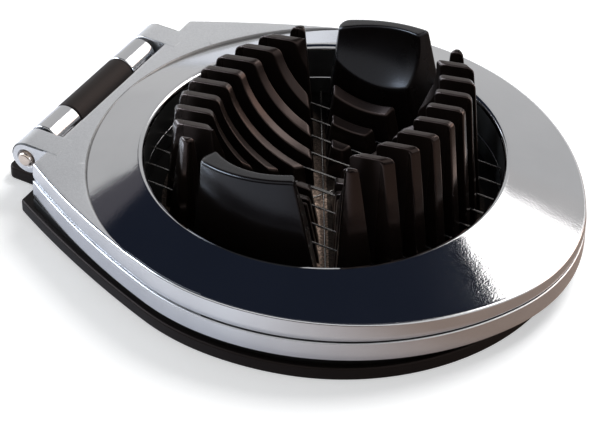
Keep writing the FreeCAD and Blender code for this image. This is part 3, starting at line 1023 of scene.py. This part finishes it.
def fin_outline(sizes, y, inset):
    """The seven stretches of a fin's outline at this place, each as reach and height along its way.

    The wall meets the egg where a h^2 + b h + c is nothing, and the top meets the outside where
    (1 - p^2) r^2 + 2 p q r is q^2 - y^2.
    """
    side, lean = sizes["Side"], sizes["Wall Lean"] / cos30
    width, length, depth = (sizes["Egg " + way] + inset for way in ("Width", "Length", "Depth"))
    rise, foot = sizes["Egg Rise"], sizes["Foot Radius"] - inset
    drop = inset / math.cos(rim_tilt)
    spread = (1 - (y / length).square()).at_least(0.0).root()
    slope = side * rim_slope

    turn = (slope * width / depth).arctangent()
    swing = spread * (depth.square() + (slope * width).square()).root()
    egg_end = (drop / swing).arcsine() - turn
    wall_foot = (sizes["Channel Half"] + inset + abs(y) * sin30) / cos30
    a = (lean / width).square() + (1 / depth).square()
    b = 2 * wall_foot * lean / width.square() - 2 * rise / depth.square()
    c = (wall_foot / width).square() + (rise / depth).square() - spread.square()
    meeting = (-b - (b.square() - 4 * a * c).at_least(0.0).root()) / (2 * a)
    wall_top = meeting.at_most(rise - depth * spread * egg_end.sine())
    egg_start = ((rise - wall_top) / (depth * spread)).arcsine()
    q = foot - cradle_draft * (rise - drop)
    p = slope * cradle_draft
    under_root = p.square() * q.square() + (1 - p.square()) * (q.square() - y.square())
    outside = (under_root.root() - p * q) / (1 - p.square())
    turn_room = ((egg_start - egg_end) / 3).at_least(0.0)
    bowl_start = egg_start - (wall_turn * MM / (depth * spread)).at_most(turn_room)
    bowl_end = egg_end + (bowl_turn * MM / (depth * spread)).at_most(turn_room)

    def wall(part):
        height = -sunk * MM + part * (wall_top - wall_turn * MM + sunk * MM)
        return wall_foot + lean * height, height

    def egg(angle):
        return width * spread * angle.cosine(), rise - depth * spread * angle.sine()

    def top_at(reach):
        return reach, rise - drop + slope * reach

    def outer(part):
        high = top_at(outside)[1] - top_turn * MM
        height = high + part * (-sunk * MM - high)
        return ((foot - cradle_draft * height).square() - y.square()).root(), height
    egg_rim = egg(egg_end)[0]
    top_in, top_out = egg_rim + bowl_turn * MM, outside - top_turn * MM
    wall_corner = (wall_foot + lean * wall_top, wall_top)
    return {"wall": wall,
            "wall corner": corner_curve(wall(1.0), wall_corner, egg(bowl_start)),
            "bowl": lambda part: egg(bowl_start + part * (bowl_end - bowl_start)),
            "bowl corner": corner_curve(egg(bowl_end), egg(egg_end), top_at(top_in)),
            "top": lambda part: top_at(top_in + part * (top_out - top_in)),
            "top corner": corner_curve(top_at(top_out), top_at(outside), outer(0.0)),
            "outside": outer}


print("a fin's outline has", len(stretch_steps), "stretches")

# %% [markdown]
# The tree tells a point's step round the cylinder from its angle, and its ring from its height. Masks
# pick the stretch that a step belongs to, and rings near a fin's faces are drawn in to round their edges.

# %% Fin row tree
def fin_row_tree():
    tree, graph, sizes = named_tree("fin row", FIN_ROW)
    fins, number = numbered_fins(graph, sizes)
    x, y, z = graph.parts(graph.add("GeometryNodeInputPosition")[0])
    turn = y.arctangent_over(x) / math.tau
    step = ((turn - turn.floor()) * fin_steps + 0.5).floor()
    step = step - (step / fin_steps).floor() * fin_steps
    ring = (1 - abs(z)) * (round_steps + 0.5)
    face = z.sign()
    tilt = (1 - ring / round_steps) * (math.pi / 2)
    inset = sizes["Rounding"] * (1 - tilt.cosine())
    half = sizes["Fin Half"] - sizes["Rounding"] * (1 - tilt.sine())
    centre = (number - (sizes["Fin Count"] - 1) / 2) * sizes["Pitch"]
    outline = fin_outline(sizes, centre + face * half, inset)
    ends = {"wall": (0, 1), "bowl": (1, 1), "top": (1, 1), "outside": (1, 0)}
    reach, height, first = 0.0, 0.0, 0
    for label, count in stretch_steps.items():
        before, after = ends.get(label, (0, 0))
        part = (step - first + before) / (count - 1 + before + after)
        here = (step < first + count - 0.5) * (1 - (step < first - 0.5))
        along, up = outline[label](part)
        reach, height = reach + here * along, height + here * up
        first += count
    drafted = centre + face * (half - fin_draft * height)
    place = graph.point(sizes["Side"] * reach, drafted, height + sizes["Deck Height"])
    bent = graph.add("GeometryNodeSetPosition", None, {"Geometry": fins, "Position": place})[0]
    end_tree(graph, bent, sizes["Finish"])
    return tree


fins_by_rule = fin_row_tree()
print("tree", fins_by_rule.name, "has", len(fins_by_rule.nodes), "nodes")

# %% [markdown]
# The outermost fin of each row, the low fins and the two tall rests at the ends of the egg have channel
# walls running across them, so they are lofted instead. Each point of an outline is given by rules that
# depend on each other, so some rounds of working one from the other settle it.

# %% Rules of the lofted outlines
first_guess, settling_rounds = (0.0, 24.0, 15.0), 60
outer_slot, slot_half = 4 * fin_pitch, fin_pitch / 2 - fin_half


def root(value):
    return math.sqrt(max(value, 0.0))


def meeting_point(across, y_rule, h_rule):
    """A point that fits all three rules at once: its x, its y and its height above the deck."""
    x, y, h = first_guess
    for turn in range(settling_rounds):
        x = across(y, h)
        y = y_rule(x, h)
        h = h_rule(x, y)
    return Vector((x, y, h))


def steps_to(count):
    return [n / count for n in range(count + 1)]


def upright(across, y_rule, high, count):
    """Points up a face, from its sunken foot to a height."""
    return [meeting_point(across, y_rule, lambda x, y: -sunk + (high + sunk) * part)
            for part in steps_to(count)]


def rim_height(drawn):
    return lambda x, y: egg_rise - drawn / math.cos(rim_tilt) + rim_slope * x


def egg_height(drawn):
    def height(x, y):
        inside = 1 - (x / (egg_half_width + drawn)) ** 2 - (y / (egg_half_length + drawn)) ** 2
        return egg_rise - (egg_depth + drawn) * root(inside)
    return height


def slot_y(h):
    """The face of the outermost slot."""
    return outer_slot + slot_half + fin_draft * h


print("outermost slot's face at", slot_y(0.0), "mm")

# %% [markdown]
# `turned_corners` trims each stretch of an outline and joins the stretches with the same short curves
# that turn the corners of the fins above.

# %% Turned corners
def spaced(points, start, end, count):
    """Points at even steps along a line, after leaving a length out at each end."""
    lengths = [(b - a).length for a, b in zip(points, points[1:])]
    whole = sum(lengths)
    start, end = min(start, whole / 3), min(end, whole / 3)
    made = []
    for part in steps_to(count):
        left = start + (whole - start - end) * part
        for (a, b), length in zip(zip(points, points[1:]), lengths):
            if left <= length or b is points[-1]:
                made.append(a.lerp(b, left / length if length else 0.0))
                break
            left -= length
    return made


def turned_corners(stretches, turns, counts):
    """One outline from stretches that share their corners, each corner turned by a short curve."""
    trims = [0.0] + turns + [0.0]
    lines = [spaced(points, trims[n], trims[n + 1], counts[n]) for n, points in enumerate(stretches)]
    outline = lines[0][:-1]
    for before, after, points in zip(lines, lines[1:], stretches[1:]):
        curve = corner_curve(before[-1], points[0], after[0])
        outline += [Vector(curve(part)) for part in steps_to(corner_steps - 1)] + after[1:-1]
    return outline + lines[-1][-1:]


def placed(outline, flip):
    """The outline above the deck, at the back for a flip of 1 and at the front for -1."""
    return [(p.x, flip * p.y, p.z + deck_top) for p in outline]


print("a turned corner has", corner_steps, "points")

# %% [markdown]
# A rest is cut upright from its left channel wall to its right one. Each cut climbs the slot's face,
# follows the egg, crosses the tilted top and comes down the outside. The hollow of a rest is a little
# wider and longer than the egg of the fins. The front rest stands lower than the back one, and its left
# wall is steeper. The left edge of each is rounded more towards the outside than at the slot.

# %% Egg rests
rest_round, rest_turn, rest_back_round, rest_back_turn, rest_edge_steps = 0.6, 0.6, 2.8, 0.7, 6
rest_lean, rest_drop = {1: near_lean, -1: 0.02}, {1: 0.0, -1: 1.3}
hollow_wider, hollow_longer = 1.6, 0.5
back_round_start, back_round_run = 22.5, 3.5
climb_steps, bowl_steps, top_steps, fall_steps = 8, 20, 4, 10
rest_counts, rest_cuts = [5, 14, 3, 8], 12


def rest_cut(u, left_in, right_in, flip):
    """One cut. `left_in` and `right_in` say how far in from its wall it lies and how far it is drawn in.

    On the left, the first pair is for the slot's side and the second for the outside.
    """
    (near_edge, near_drawn), (back_edge, back_drawn) = left_in
    far_edge, far_drawn = right_in
    drawn, back_drawn = max(near_drawn, far_drawn), max(back_drawn, far_drawn)
    wide, long = egg_half_width + hollow_wider + drawn, egg_half_length + hollow_longer + drawn
    deep = egg_depth + drawn
    lowered = drawn + rest_drop[flip]
    drop = lowered / math.cos(rim_tilt)

    def across(y, h):
        towards_back = min(max((y - back_round_start) / back_round_run, 0.0), 1.0)
        edge = near_edge + (back_edge - near_edge) * towards_back
        left = (near_half + rest_lean[flip] * h) / cos30 - y * tan30 + edge
        right = y * tan30 - (far_half + far_lean * h) / cos30 - far_edge
        return left + (right - left) * u

    def front(x, h):
        return slot_y(h) + drawn

    def outside(x, h):
        return root((foot_radius - back_drawn - cradle_draft * h) ** 2 - x ** 2)

    def spread(x):
        return root(1 - (x / wide) ** 2)

    def hollow(x, y):
        return egg_rise - deep * root(spread(x) ** 2 - (y / long) ** 2)
    lip = meeting_point(across, front, hollow)
    start = math.acos(min(lip.y / (long * spread(lip.x)), 1.0))

    def egg_turn(x, part):
        last = math.asin((drop - rim_slope * x) / (deep * spread(x)))
        return start + (last - start) * part
    bowl = [meeting_point(across, lambda x, h: long * spread(x) * math.cos(egg_turn(x, part)),
                          lambda x, y: egg_rise - deep * spread(x) * math.sin(egg_turn(x, part)))
            for part in steps_to(bowl_steps)]
    corner = meeting_point(across, outside, rim_height(lowered))
    climb = upright(across, front, lip.z, climb_steps)
    top = [bowl[-1].lerp(corner, part) for part in steps_to(top_steps)]
    fall = upright(across, outside, corner.z, fall_steps)[::-1]
    turns = [rest_turn, rest_turn, rest_back_turn]
    return placed(turned_corners([climb, bowl, top, fall], turns, rest_counts), flip)


def egg_rest(flip):
    near, back = rounding(rest_round, rest_edge_steps), rounding(rest_back_round, rest_edge_steps)
    inner, whole = (near[-1], back[-1]), (rest_round, 0.0)
    cuts = [rest_cut(0.0, pair, whole, flip) for pair in zip(near, back)]
    cuts += [rest_cut(part, inner, whole, flip) for part in steps_to(rest_cuts)[1:-1]]
    return loft(cuts + [rest_cut(1.0, inner, edge, flip) for edge in reversed(rounding(rest_round))])[0]


print("a rest's outline has", len(rest_cut(0.5, ((0.0, 0.0), (0.0, 0.0)), (0.0, 0.0), 1)), "points")

# %% [markdown]
# The outermost fins narrow to a blunt edge where the channel wall runs out through the side of the
# cradle.

# %% Corner fins
corner_round, corner_turn, blunt_share, blunt_drawn = 0.6, 1.1, 0.74, 0.6
corner_face_steps, corner_top_steps, corner_counts = 8, 6, [8, 4, 8]
between_faces = (0.33, 0.67)


def corner_cut(v, edge, drawn, side, lean, flip):
    """A cut of a corner fin, from the slot's face at 0 to the blunt edge at 1."""
    def y_rule(x, h):
        radius = foot_radius - cradle_draft * h
        sharp = radius * math.sin(wedge_turn - math.asin((channel_half + lean * h) / radius))
        blunt = slot_y(h) + (sharp - slot_y(h)) * blunt_share
        return slot_y(h) + edge + (blunt - slot_y(h) - 2 * edge) * v

    def wall(y, h):
        return side * (channel_half + drawn + lean * h + sin30 * y) / cos30

    def outer(y, h):
        return side * root((foot_radius - drawn - cradle_draft * h) ** 2 - y ** 2)
    inner_top, outer_top = (meeting_point(face, y_rule, rim_height(drawn)) for face in (wall, outer))
    climb = upright(wall, y_rule, inner_top.z, corner_face_steps)
    top = [inner_top.lerp(outer_top, part) for part in steps_to(corner_top_steps)]
    fall = upright(outer, y_rule, outer_top.z, corner_face_steps)[::-1]
    return placed(turned_corners([climb, top, fall], [corner_turn, corner_turn], corner_counts), flip)


def corner_fin(side, lean, flip):
    rings = rounding(corner_round)
    middle = [(part, corner_round, 0.0) for part in between_faces]
    cuts = [(0.0, edge, drawn) for edge, drawn in rings] + middle
    cuts += [(1.0, edge, drawn * blunt_drawn) for edge, drawn in reversed(rings)]
    return loft([corner_cut(v, edge, drawn, side, lean, flip) for v, edge, drawn in cuts])[0]


print("a corner fin's outline has", len(corner_cut(0.5, 0.0, 0.0, 1, right_lean, 1)), "points")

# %% [markdown]
# The low fins stand under the ends of the egg, and their tops are part of its hollow. Their ends are the
# walls of the two channels beside the rest.

# %% Low fins
low_round, low_turn, low_count, first_low_fin = 0.4, 0.7, 3, 1.5
low_face_steps, low_bowl_steps, low_counts = 6, 16, [5, 12, 5]


def low_cut(centre, offset, drawn, flip):
    """A cut of a low fin, at an offset from its middle plane."""
    def y_rule(x, h):
        return centre + math.copysign(abs(offset) - fin_draft * h, offset)

    def wall(sign, half, lean):
        return lambda y, h: sign * (y * tan30 - (half + drawn + lean * h) / cos30)
    left, right = wall(-1, near_half, near_lean), wall(1, far_half, far_lean)
    start, end = (meeting_point(face, y_rule, egg_height(drawn)) for face in (left, right))
    climb = upright(left, y_rule, start.z, low_face_steps)
    bowl = [meeting_point(lambda y, h: start.x + (end.x - start.x) * part, y_rule, egg_height(drawn))
            for part in steps_to(low_bowl_steps)]
    fall = upright(right, y_rule, end.z, low_face_steps)[::-1]
    return placed(turned_corners([climb, bowl, fall], [low_turn, low_turn], low_counts), flip)


def low_fin(centre, flip):
    rings = rounding(low_round)
    cuts = [low_cut(centre, edge - fin_half, drawn, flip) for edge, drawn in rings]
    return loft(cuts + [low_cut(centre, fin_half - edge, drawn, flip) for edge, drawn in reversed(rings)])[0]


print("a low fin's outline has", len(low_cut(first_low_fin * fin_pitch, fin_half, 0.0, 1)), "points")

# %% [markdown]
# Now the cradle is put together, node by node, and tied to the base that it is moulded with.

# %% Cradle pieces
row_count = 8
fin_values = {"Fin Count": row_count, "Pitch": fin_pitch * MM, "Fin Half": fin_half * MM,
              "Egg Width": egg_half_width * MM, "Egg Length": egg_half_length * MM,
              "Egg Depth": egg_depth * MM, "Egg Rise": egg_rise * MM, "Foot Radius": foot_radius * MM,
              "Channel Half": channel_half * MM, "Deck Height": deck_top * MM,
              "Rounding": fin_round * MM, "Finish": fin_plastic}
for label, side, lean in (("left", -1.0, left_lean), ("right", 1.0, right_lean)):
    row = settle(grown(label + "_fin_row", fins_by_rule, {**fin_values, "Side": side, "Wall Lean": lean}))
    join_frame(row, "base", "black_plastic", label + "_fins")
    corners = [corner_fin(side, lean, flip) for flip in (-1, 1)]
    corner_pair = settle(as_object(label + "_corner_fins", corners, [fin_plastic]))
    join_frame(corner_pair, "base", "black_plastic", label + "_fins")
for label, flip in (("back", 1), ("front", -1)):
    low = [low_fin((n + first_low_fin) * fin_pitch, flip) for n in range(low_count)]
    low_fins = settle(as_object(label + "_low_fins", low, [fin_plastic]))
    join_frame(low_fins, "base", "black_plastic", label + "_fins")
    rest = settle(as_object(label + "_egg_rest", [egg_rest(flip)], [rest_plastic]))
    join_frame(rest, "base", "black_plastic", label + "_rest")

# %% [markdown]
# The studio is a pale floor, a white world, one lamp, and a few cards that only mirrors can see. The floor
# is lifted to white for the camera, and stays a plain pale cloth as light, so that it keeps the slicer's
# shadow. In mirrors it runs from a cool tone at the left to a warm one at the right.

# %% Studio floor
floor_half, floor_fade_end = 4, 0.055


def seen_directly(graph):
    """One for rays from the camera, a mirror or through glass, and nothing for other light."""
    path = graph.add("ShaderNodeLightPath")
    return (path["Is Camera Ray"] + path["Is Glossy Ray"] + path["Is Transmission Ray"]).at_most(1.0)


def fading(graph, fade, near_colour, far_colour):
    """A colour that runs from one tone to another along x or y."""
    axis, start, end = fade
    part = ((graph.parts(graph.place())[axis] - start) / (end - start)).kept_within(0.0, 1.0)
    return tones(graph, part, near_colour, far_colour)


def pale_floor(graph):
    """A plain floor that also looks lit to the camera, and cool to warm from left to right in mirrors."""
    mirrored = graph.add("ShaderNodeLightPath")["Is Glossy Ray"]

    def in_mirrors(plain, left_tone, right_tone):
        return tones(graph, mirrored, plain, fading(graph, (0, 0.0, floor_fade_end), left_tone, right_tone))
    shade = in_mirrors((0.82, 0.82, 0.82), (0.82, 0.82, 0.82), (0.3, 0.265, 0.245))
    cloth = graph.add("ShaderNodeBsdfDiffuse", None, {"Color": shade})[0]
    tone = in_mirrors((0.45, 0.455, 0.46), (0.42, 0.46, 0.55), (0.15, 0.09, 0.06))
    glow = graph.add("ShaderNodeEmission", None, {"Color": tone, "Strength": 1.0})[0]
    lifted = graph.add("ShaderNodeAddShader", None, {0: cloth, 1: glow})[0]
    return graph.add("ShaderNodeMixShader", None, {0: seen_directly(graph), 1: cloth, 2: lifted})[0]


def sheet(name, corners, material):
    """A flat piece of the studio, which is no part of the slicer."""
    mesh = bpy.data.meshes.new(name)
    mesh.from_pydata(corners, [], [tuple(range(len(corners)))])
    mesh.materials.append(material)
    piece = bpy.data.objects.new(name, mesh)
    scene.collection.objects.link(piece)
    return piece


def flat(height, *places):
    return [(x, y, height) for x, y in places]


def rectangle(x_low, y_low, x_high, y_high):
    return (x_low, y_low), (x_high, y_low), (x_high, y_high), (x_low, y_high)


floor = flat(0, *rectangle(-floor_half, -floor_half, floor_half, floor_half))
sheet("studio_floor", floor, surfaced("pale_floor", pale_floor))
print("floor", 2 * floor_half, "m wide")

# %% [markdown]
# Bright metal has no look of its own: the ring shows a dark ceiling, a white softbox at its far edge and
# the pale room below them, so those are set where the polished ring picks them up. A cool window at the
# left, a warm one at the right and a cool softbox overhead at the left give the black plastic its lit
# edges. A dark front and carpet keep the sides towards the camera from going white.

# %% Cards for the mirrors
ceiling, just_above = 1.0, 0.001


def card(name, corners, colour, strength=1.0, far_colour=None, fade=None):
    """A flat card that only mirror reflections see, and that may fade to another tone along x or y."""
    def lit(graph):
        shade = fading(graph, fade, colour, far_colour) if fade else (*colour, 1)
        return graph.add("ShaderNodeEmission", None, {"Color": shade, "Strength": strength})[0]
    piece = sheet(name, corners, surfaced(name, lit))
    piece.visible_camera = piece.visible_diffuse = piece.visible_shadow = piece.visible_transmission = False


def upright_between(start, end, low, high):
    return [(*start, low), (*end, low), (*end, high), (*start, high)]


card("dark_ceiling", flat(ceiling, (-1.55, 0.07), (-1.05, -0.4), (0.6, -0.4), (0.165, 0.72), (-0.97, 0.85)),
     (0.021, 0.027, 0.046))
card("slate_ceiling", flat(ceiling, (-1.55, 0.07), (-0.97, 0.85), (-1.3, 1.15), (-1.9, 0.34)),
     (0.15, 0.146, 0.17))
card("white_softbox",
     flat(ceiling, (-0.1, 0.75), (0.165, 0.72), (0.34, 0.27), (0.9, 0.27), (0.9, 1.6), (-0.1, 1.6)),
     (1.0, 0.98, 0.96), 5.0, (0.2, 0.197, 0.195), (1, 1.12, 1.34))
card("cool_softbox", flat(ceiling, (-2.3, -0.9), (-1.2, -0.9), (-1.1, -0.45), (-1.55, 0.0), (-2.3, 0.0)),
     (0.78, 0.88, 1.0), 24.0)
card("dark_front", upright_between((-2.0, -1.5), (1.5, -1.5), 0.0, 0.6), (0.05, 0.055, 0.07))
card("dark_carpet", flat(just_above, *rectangle(-2.0, -1.5, 1.5, -0.14)), (0.05, 0.055, 0.075))
card("cool_window", upright_between((-1.2, -0.3), (-1.2, 0.42), 0.0, 0.6), (0.82, 0.9, 1.0), 8.0)
card("warm_window", upright_between((1.0, 0.5), (0.55, 1.0), 0.05, 0.75), (1.0, 0.80, 0.70), 4.5)
print("cards hang at", ceiling, "m or stand round the floor")

# %% [markdown]
# The world is full white to the camera and to mirrors, and dimmer as light. One lamp high behind the
# slicer gives the soft shadow in front of it, and is hidden from mirrors.

# %% World and lamp
room_level = 0.34
world = bpy.data.worlds.new("white_room")
scene.world = world
world.use_nodes = True
world.node_tree.nodes.clear()
room = Graph(world.node_tree)
seen_room = room.add("ShaderNodeBackground", None, {"Color": (1, 1, 1, 1), "Strength": 1.0})[0]
room_light = room.add("ShaderNodeBackground", None, {"Color": (1, 1, 1, 1), "Strength": room_level})[0]
mixed = room.add("ShaderNodeMixShader", None, {0: seen_directly(room), 1: room_light, 2: seen_room})[0]
room.add("ShaderNodeOutputWorld", None, {"Surface": mixed})

lamp = bpy.data.lights.new("high_back_light", "AREA")
lamp.shape, lamp.size, lamp.energy = "DISK", 0.55, 9.5
holder = bpy.data.objects.new("high_back_light", lamp)
holder.location = (0.17, 0.68, 0.9)
holder.rotation_euler = (-holder.location).to_track_quat("-Z", "Y").to_euler()
holder.visible_glossy = False
scene.collection.objects.link(holder)

# %% [markdown]
